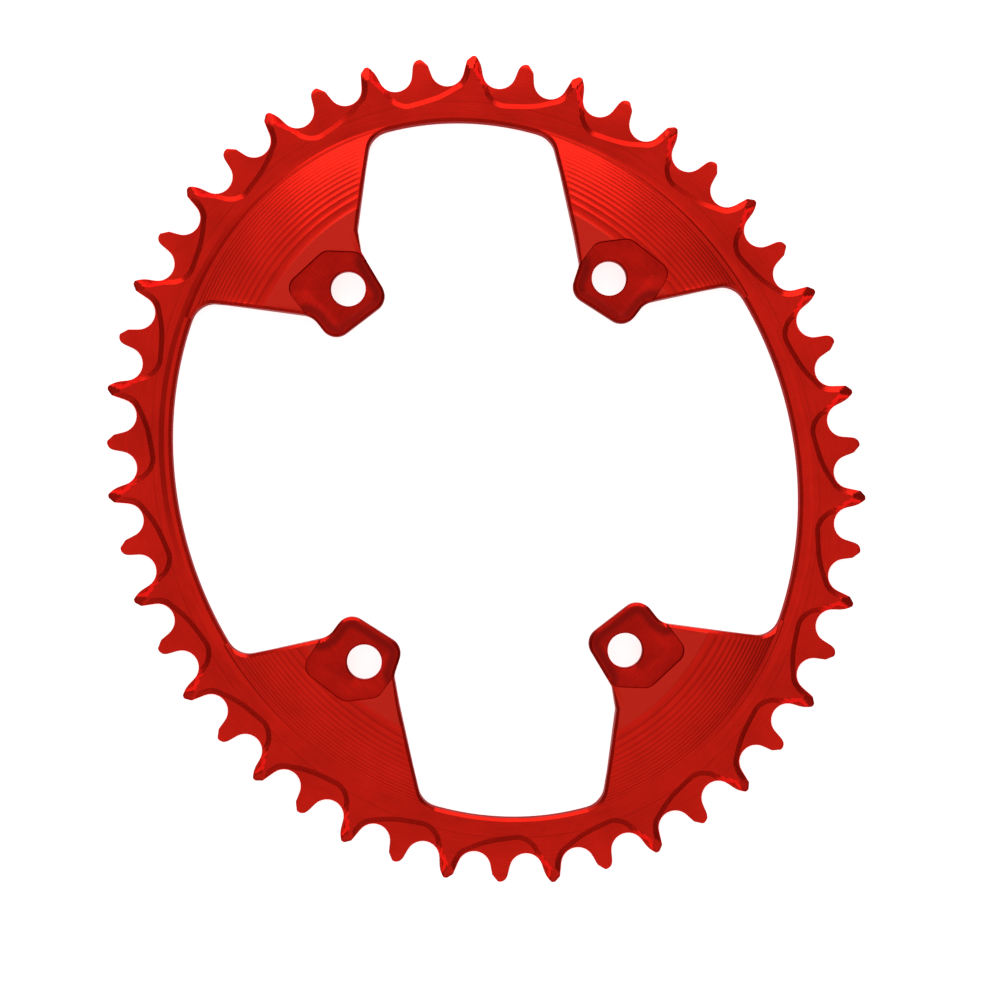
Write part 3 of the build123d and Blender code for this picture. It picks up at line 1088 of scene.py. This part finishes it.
    def add_tab(self, parts: MeshParts, loop: np.ndarray, free_edge: np.ndarray,
                terraces: Terraces, height: np.ndarray, back: np.ndarray) -> None:
        """Add the tab: rings from the pocket's edge and the tab's free edges to the hole.

        Args:
            parts: Mesh that gets the grids.
            loop: Edge of the pocket, one point a column, then the free edge.
            free_edge: The tab's free edge.
            terraces: Front and back of the arm.
            height: Heights of the arm's front at the pocket's edge.
            back: Heights of the arm's back there.
        """
        radius = np.linalg.norm(loop, axis=1)
        room = (radius - self.hole_radius - self.hole_break)[None]
        steps = np.array(self.ring_steps)[:, None]
        shares = np.array(self.ring_shares)[:, None]
        inset = np.concatenate([np.minimum(steps, shares * room), room, room + self.hole_break])
        rings = loop * ((radius - inset) / radius)[..., None]
        dish = self.pocket_height(rings, free_edge, terraces.land_height)
        dish -= np.maximum(self.edge_break - path_distance(rings, free_edge), 0)
        dish[0, :self.columns] = height
        dish[-1] -= self.hole_break
        front = parts.add_points(raised(self.to_ring(rings), dish))
        flat = np.stack([loop, loop * (self.hole_radius / radius)[:, None]])
        seat = np.full(flat.shape[:-1], terraces.tab_back)
        seat[0, :self.columns] = back
        behind = parts.add_points(raised(self.to_ring(flat), seat))
        parts.add_grid(front, closed=True)
        parts.add_grid(behind, closed=True)
        parts.add_grid(np.stack([front[-1], behind[-1]]), closed=True)
        wall = np.stack([front[0], behind[0]])
        parts.add_grid(np.concatenate([wall[:, self.columns - 1:], wall[:, :1]], axis=1))


@dataclass(frozen=True)
class RedAnodised:
    """Aluminium, milled and bead-blasted, then anodised red: satin metal under a clear oxide skin.

    It gives a deep metallic red with soft highlights, a fine matte grain, feed marks along the
    ring and a faint mottle of the dye. Painted shade darkens the pockets, a band inside their free
    edges, the lines between terraces and the rim's fine step.
    """

    name: str = "red_anodised_aluminium"
    colour: str = "#ec2010"
    deep: str = "#cd190b"
    edge: str = "#8c1c1a"
    land: str = "#de2a1c"
    # Pockets: darker copies of the rim's tones, painted shade as if the pockets lay deeper, and
    # darker still in a painted shade band inside the tabs' free edges.
    pocket: str = "#d91809"
    pocket_shade_deep: str = "#ab0e05"
    pocket_lip_shade: str = "#860a04"
    # Painted shade: a darker line between terraces and on the rim's fine step.
    line: str = "#a81206"
    line_shade_share: float = 0.55
    lip_shade_share: float = 0.8
    smoothest: float = 0.23
    roughest: float = 0.32
    land_roughness: float = 0.42
    skin: float = 0.1
    skin_roughness: float = 0.3
    grain_mm: float = 0.35
    grain_detail: float = 3.0
    grain_fall: float = 0.6
    grain_range: tuple = (0.25, 0.75)
    mottle_mm: float = 9.0
    mottle_detail: float = 4.0
    mottle_fall: float = 0.55
    mark_mm: float = 0.4
    mark_length_mm: float = 7.0
    mark_detail: float = 2.0
    mark_share: float = 0.4
    dye_range: tuple = (0.3, 0.7)
    relief_share: float = 0.65
    relief_mm: float = 0.03
    relief_strength: float = 0.1

    def make(self) -> bpy.types.Material:
        """Build the material.

        Returns:
            The material, which reads Object coordinates and the ring's own attributes.
        """
        material = bpy.data.materials.new(self.name)
        material.use_nodes = True
        tree = material.node_tree
        add = partial(add_node, tree)
        place = add("ShaderNodeTexCoord").outputs["Object"]
        # The blasted grain is about 0.05 mm and is drawn coarser, so that it shows in the render.
        grain = add("ShaderNodeTexNoise", {
            "Vector": place, "Scale": 1 / (self.grain_mm * MM),
            "Detail": self.grain_detail, "Roughness": self.grain_fall}).outputs["Fac"]
        mottle = add("ShaderNodeTexNoise", {
            "Vector": place, "Scale": 1 / (self.mottle_mm * MM),
            "Detail": self.mottle_detail, "Roughness": self.mottle_fall}).outputs["Fac"]
        # Place along and across the ring in millimetres, then 1 on the lands, which the cutter left
        # as rolled, -1 in the pockets, which get painted shade, and down to -2 inside their free
        # edges, where a band of painted shade is darker still.
        milled = add("ShaderNodeAttribute", attribute_name="milling_and_shade").outputs["Vector"]
        kind = add("ShaderNodeSeparateXYZ", {0: milled}).outputs["Z"]
        land = add("ShaderNodeMath", {0: kind, 1: 0.0}, operation="MAXIMUM").outputs[0]
        hollow = add("ShaderNodeMapRange", {
            "Value": kind, "From Min": 0.0, "From Max": -1.0}).outputs[0]
        lip = add("ShaderNodeMapRange", {
            "Value": kind, "From Min": -1.0, "From Max": -2.0, "To Max": self.lip_shade_share}).outputs[0]
        # Feed marks run along the ring: long one way, and as narrow as still shows the other way.
        scale = (1 / self.mark_length_mm, 1 / self.mark_mm, 0)
        flat = add("ShaderNodeVectorMath", {0: milled, 1: scale}, operation="MULTIPLY").outputs[0]
        marks = add("ShaderNodeTexNoise", {
            "Vector": flat, "Scale": 1.0, "Detail": self.mark_detail}).outputs["Fac"]

        # The dye varies with the mottle and the marks. A darker line of painted shade lies where one
        # terrace meets the next and on the rim's fine step.
        dyed = add("ShaderNodeMix", {"Factor": self.mark_share, 2: mottle, 3: marks}).outputs[0]
        low, high = self.dye_range
        dye = add("ShaderNodeMapRange", {
            "Value": dyed, "From Min": low, "From Max": high}).outputs[0]
        lines = add("ShaderNodeAttribute", attribute_name="terrace_line_shade").outputs["Fac"]
        line_shade_mix = add("ShaderNodeMath", {0: lines, 1: self.line_shade_share}, operation="MULTIPLY").outputs[0]
        tone, sunk = linear(self.deep), linear(self.pocket_shade_deep)
        for factor, colour in ((dye, self.colour), (line_shade_mix, self.line), (land, self.land)):
            tone = add("ShaderNodeMix", {"Factor": factor, 6: tone, 7: linear(colour)},
                       data_type="RGBA").outputs[2]
        # The pockets' tones are painted shade, darker than the rim's and darkest inside the tabs'
        # free edges.
        for factor, colour in ((dye, self.pocket), (lip, self.pocket_lip_shade)):
            sunk = add("ShaderNodeMix", {"Factor": factor, 6: sunk, 7: linear(colour)},
                       data_type="RGBA").outputs[2]
        tone = add("ShaderNodeMix", {"Factor": hollow, 6: tone, 7: sunk}, data_type="RGBA").outputs[2]

        low, high = self.grain_range
        satin = add("ShaderNodeMapRange", {
            "Value": grain, "From Min": low, "From Max": high,
            "To Min": self.smoothest, "To Max": self.roughest}).outputs[0]
        finish = add("ShaderNodeMix", {"Factor": land, 2: satin, 3: self.land_roughness}).outputs[0]
        relief = add("ShaderNodeMix", {"Factor": self.relief_share, 2: grain, 3: marks}).outputs[0]
        bump = add("ShaderNodeBump", {
            "Height": relief, "Strength": self.relief_strength, "Distance": self.relief_mm * MM})
        shader = tree.nodes["Principled BSDF"]
        tree.links.new(tone, shader.inputs["Base Color"])
        tree.links.new(finish, shader.inputs["Roughness"])
        tree.links.new(bump.outputs["Normal"], shader.inputs["Normal"])
        shader.inputs["Metallic"].default_value = 1.0
        # The oxide's own surface adds a faint white sheen over the dye.
        shader.inputs["Coat Weight"].default_value = self.skin
        shader.inputs["Coat Roughness"].default_value = self.skin_roughness
        # The dye lies in the oxide, so a grazing look through it stays red.
        shader.inputs["Specular Tint"].default_value = linear(self.edge)
        return material


@dataclass
class Chainring:
    """The whole ring: toothed rim and four arms, made as one piece and dressed."""

    rim: Rim = field(default_factory=Rim)
    terraces: Terraces = field(default_factory=Terraces)
    finish: RedAnodised = field(default_factory=RedAnodised)
    arms: tuple = (
        Arm(math.radians(55), ArmKind.BROAD), Arm(math.radians(125), ArmKind.SLIM),
        Arm(math.radians(235), ArmKind.BROAD), Arm(math.radians(305), ArmKind.SLIM))
    merge: float = 0.004
    sharp_angle: float = math.radians(17)
    land_room: float = 0.03
    pocket_low: float = 1.0
    pocket_high: float = 0.5
    line_room: float = 0.04
    step_room: float = 0.01

    def kinds(self, points: np.ndarray) -> np.ndarray:
        """Kind of surface at each point, which also places the painted shade of the pockets.

        Args:
            points: Points of the ring in millimetres, n by 3.

        Returns:
            1 on the lands, 0 elsewhere, and in the pockets -1 for painted shade, down to -2 for the
            darker painted shade inside their free edges.
        """
        height = points[:, 2]
        land = self.terraces.land_height
        kind = np.clip((height - land) / self.land_room + 1, 0, 1)
        above_seat = height > self.terraces.tab_back + self.pocket_low
        sunk = above_seat & (height < land - self.pocket_high)
        for arm in self.arms:
            local = arm.from_ring(points[:, :2])
            pocket = arm.pocket_path()[::arm.pocket_skip]
            in_pocket = inside_polygon(local, pocket) & sunk
            outline = arm.outline(self.rim)
            free_edge = outline[inside_polygon(outline, pocket)][::arm.free_skip]
            away = path_distance(local[in_pocket], free_edge)
            kind[in_pocket] = -1 - np.interp(away, *zip(*arm.lip_shade))
        return kind

    def on_lines(self, depth: np.ndarray, height: np.ndarray) -> np.ndarray:
        """Tell which points lie on a line between terraces or on the rim's fine line, where the
        finish paints a darker line of shade.

        Args:
            depth: Depths of the points inside the pitch oval.
            height: Their heights.

        Returns:
            True for each point on a line.
        """
        rim, terraces = self.rim, self.terraces
        on_line = np.abs(depth[:, None] - terraces.lines).min(axis=1) < self.line_room
        on_front = np.abs(height - terraces.chord(depth)) < self.line_room
        on_step = np.abs(depth - rim.wedge_depth) < self.step_room
        on_rim = np.abs(height - rim.thickness + rim.wedge_step) < self.step_room
        return (on_line & on_front) | (on_step & on_rim)

    def mark_surface(self, mesh: bpy.types.Mesh) -> None:
        """Store what the finish reads: place along and across the ring, kind of surface with the
        pockets' painted shade, and the lines of painted shade.

        Args:
            mesh: The ring's mesh.
        """
        points = np.empty(len(mesh.vertices) * 3)
        mesh.vertices.foreach_get("co", points)
        points = points.reshape(-1, 3) / MM
        along, depth = self.rim.oval.locate(points[:, :2])
        milling_and_shade = np.stack([along, depth, self.kinds(points)], axis=1)
        marks = mesh.attributes.new("milling_and_shade", "FLOAT_VECTOR", "POINT")
        marks.data.foreach_set("vector", milling_and_shade.ravel())
        lines = mesh.attributes.new("terrace_line_shade", "FLOAT", "POINT")
        lines.data.foreach_set("value", self.on_lines(depth, points[:, 2]).astype(float))

    def build(self) -> bpy.types.Object:
        """Make the whole ring as one object that stands for the CAD solid.

        Returns:
            The ring's object, riding on the root body.
        """
        parts = MeshParts()
        self.rim.add(parts)
        for arm in self.arms:
            arm.add(parts, self.rim, self.terraces)
        ring = parts.make("milled_ring", self.merge)
        self.dress(ring)
        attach(ring, "root")
        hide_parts("chainring")
        return ring

    def dress(self, ring: bpy.types.Object) -> None:
        """Give the ring its finish, smooth faces and sharp edges."""
        self.mark_surface(ring.data)
        ring.data.materials.append(self.finish.make())
        ring.data.shade_smooth()
        ring.data.set_sharp_from_angle(angle=self.sharp_angle)


@dataclass(frozen=True)
class Studio:
    """Pale floor, soft light from the top of the picture, and the camera over the ring.

    Places and sizes of the floor and the lamps are in metres.
    """

    floor_half: float = 8.0
    floor_drop: float = 0.0001
    floor_colour: str = "#e4e4e4"
    floor_glow: float = 0.75
    key_place: tuple = (0.0, 0.76, 0.64)
    key_aim: tuple = (0.0, 0.0, 0.0)
    key_size: tuple = (0.95, 0.45)
    key_radiance: float = 1.65
    low_place: tuple = (0.0, 1.0, 0.23)
    low_aim: tuple = (0.0, 0.0, 0.02)
    low_size: tuple = (1.2, 0.44)
    low_radiance: float = 1.4
    # The ceiling is a strip that ends at these shares of the way to each side and to the horizon,
    # and is dimmer straight overhead.
    room: float = 0.18
    ceiling: float = 0.73
    strip_shift: float = 0.06
    strip_range: tuple = (0.53, 0.93)
    high_range: tuple = (0.1, 0.6)
    overhead_range: tuple = (0.88, 0.99)
    overhead: float = 0.74
    focal_px: float = 2072.7
    image_px: float = 1000.0
    sensor_mm: float = 36.0
    near_clip: float = 0.01
    distance: float = 500.08
    tilt: tuple = (0.042, 1.275, 2.454)
    offset: tuple = (-3.164, 7.276, 0.0)
    plane_height: float = 6.0

    def add_floor(self) -> bpy.types.Object:
        """Lay the floor: matt pale grey, with a little glow in what camera, metal and glass see."""
        half, drop = self.floor_half, -self.floor_drop
        mesh = bpy.data.meshes.new("pale_floor")
        corners = [(-half, -half, drop), (half, -half, drop), (half, half, drop), (-half, half, drop)]
        mesh.from_pydata(corners, [], [(0, 1, 2, 3)])
        floor = bpy.data.objects.new("pale_floor", mesh)
        bpy.context.scene.collection.objects.link(floor)
        material = bpy.data.materials.new("matt_pale_paper")
        material.use_nodes = True
        tree = material.node_tree
        tree.nodes.remove(tree.nodes["Principled BSDF"])
        add = partial(add_node, tree)
        rays = add("ShaderNodeLightPath").outputs
        seen = rays["Is Camera Ray"]
        for ray in ("Is Glossy Ray", "Is Transmission Ray"):
            seen = add("ShaderNodeMath", {0: seen, 1: rays[ray]}).outputs[0]
        glow = add("ShaderNodeMath", {0: seen, 1: self.floor_glow}, operation="MULTIPLY")
        light = add("ShaderNodeEmission", {"Strength": glow.outputs[0]})
        matt = add("ShaderNodeBsdfDiffuse", {"Color": linear(self.floor_colour)})
        both = add("ShaderNodeAddShader", {0: matt.outputs[0], 1: light.outputs[0]})
        tree.links.new(both.outputs[0], tree.nodes["Material Output"].inputs["Surface"])
        mesh.materials.append(material)
        return floor

    def add_lamp(self, name: str, place: tuple, aim: tuple, size: tuple,
                 radiance: float) -> bpy.types.Object:
        """Hang a soft box.

        Args:
            name: Name of the lamp.
            place: Its place.
            aim: Point that it faces.
            size: Width and height.
            radiance: Brightness of its face; power is pi times its area times that.

        Returns:
            The lamp.
        """
        data = bpy.data.lights.new(name, "AREA")
        data.shape = "RECTANGLE"
        data.size, data.size_y = size
        data.energy = math.pi * size[0] * size[1] * radiance
        lamp = bpy.data.objects.new(name, data)
        back = unit(np.array(place) - np.array(aim))
        right = unit(np.cross((0, 0, 1), back))
        turn = np.eye(4)
        turn[:3] = np.stack([right, np.cross(back, right), back, place], axis=1)
        lamp.matrix_world = Matrix(turn.tolist())
        bpy.context.scene.collection.objects.link(lamp)
        return lamp

    def add_light(self) -> None:
        """Light the ring: soft boxes beyond the top of the picture, and a pale strip of ceiling."""
        self.add_lamp("key_box", self.key_place, self.key_aim, self.key_size, self.key_radiance)
        self.add_lamp("low_box", self.low_place, self.low_aim, self.low_size, self.low_radiance)
        world = bpy.data.worlds.new("pale_ceiling")
        world.use_nodes = True
        tree = world.node_tree
        add = partial(add_node, tree)
        place = add("ShaderNodeTexCoord").outputs["Generated"]
        way = add("ShaderNodeSeparateXYZ", {0: place}).outputs
        aside = add("ShaderNodeMath", {0: way["X"], 1: self.strip_shift}).outputs[0]
        aside = add("ShaderNodeMath", {0: aside}, operation="ABSOLUTE").outputs[0]
        fades = (
            (aside, self.strip_range, 1.0, 0.0),
            (way["Z"], self.high_range, 0.0, 1.0),
            (way["Z"], self.overhead_range, 1.0, self.overhead))
        bright = 1.0
        for value, (start, stop), first, last in fades:
            fade = add("ShaderNodeMapRange", {
                "Value": value, "From Min": start, "From Max": stop, "To Min": first,
                "To Max": last}, interpolation_type="SMOOTHSTEP").outputs[0]
            bright = add("ShaderNodeMath", {0: bright, 1: fade}, operation="MULTIPLY").outputs[0]
        level = add("ShaderNodeMapRange", {
            "Value": bright, "To Min": self.room, "To Max": self.ceiling}).outputs[0]
        background = tree.nodes["Background"]
        background.inputs["Color"].default_value = (1, 1, 1, 1)
        tree.links.new(level, background.inputs["Strength"])
        bpy.context.scene.world = world

    def add_camera(self) -> bpy.types.Object:
        """Set the camera where the photograph was taken from.

        The ring is turned by three small angles and moved in front of a camera that looks
        straight down, so the camera gets the opposite move.

        Returns:
            The camera.
        """
        tilts = zip(self.tilt, "XYZ")
        turns = [Matrix.Rotation(math.radians(angle), 3, axis) for angle, axis in tilts]
        turn = np.array((turns[0] @ turns[1] @ turns[2]).to_3x3())
        place = turn.T @ (np.array([0, 0, self.distance]) - np.array(self.offset))
        place = place + (0, 0, self.plane_height)
        data = bpy.data.cameras.new("photo_camera")
        data.sensor_width = self.sensor_mm
        data.lens = self.sensor_mm * self.focal_px / self.image_px
        data.clip_start = self.near_clip
        camera = bpy.data.objects.new("photo_camera", data)
        pose = np.eye(4)
        pose[:3, :3] = turn.T
        pose[:3, 3] = place * MM
        camera.matrix_world = Matrix(pose.tolist())
        bpy.context.scene.collection.objects.link(camera)
        bpy.context.scene.camera = camera
        return camera


def main() -> None:
    """Build the ring and its studio."""
    logging.basicConfig(level=logging.INFO)
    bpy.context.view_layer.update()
    scene = bpy.context.scene
    scene.view_settings.view_transform = "Standard"
    studio = Studio()
    studio.add_camera()
    studio.add_light()
    studio.add_floor()
    ring = Chainring().build()
    log.info("milled ring: %d faces", len(ring.data.polygons))


if __name__ == "__main__":
    main()
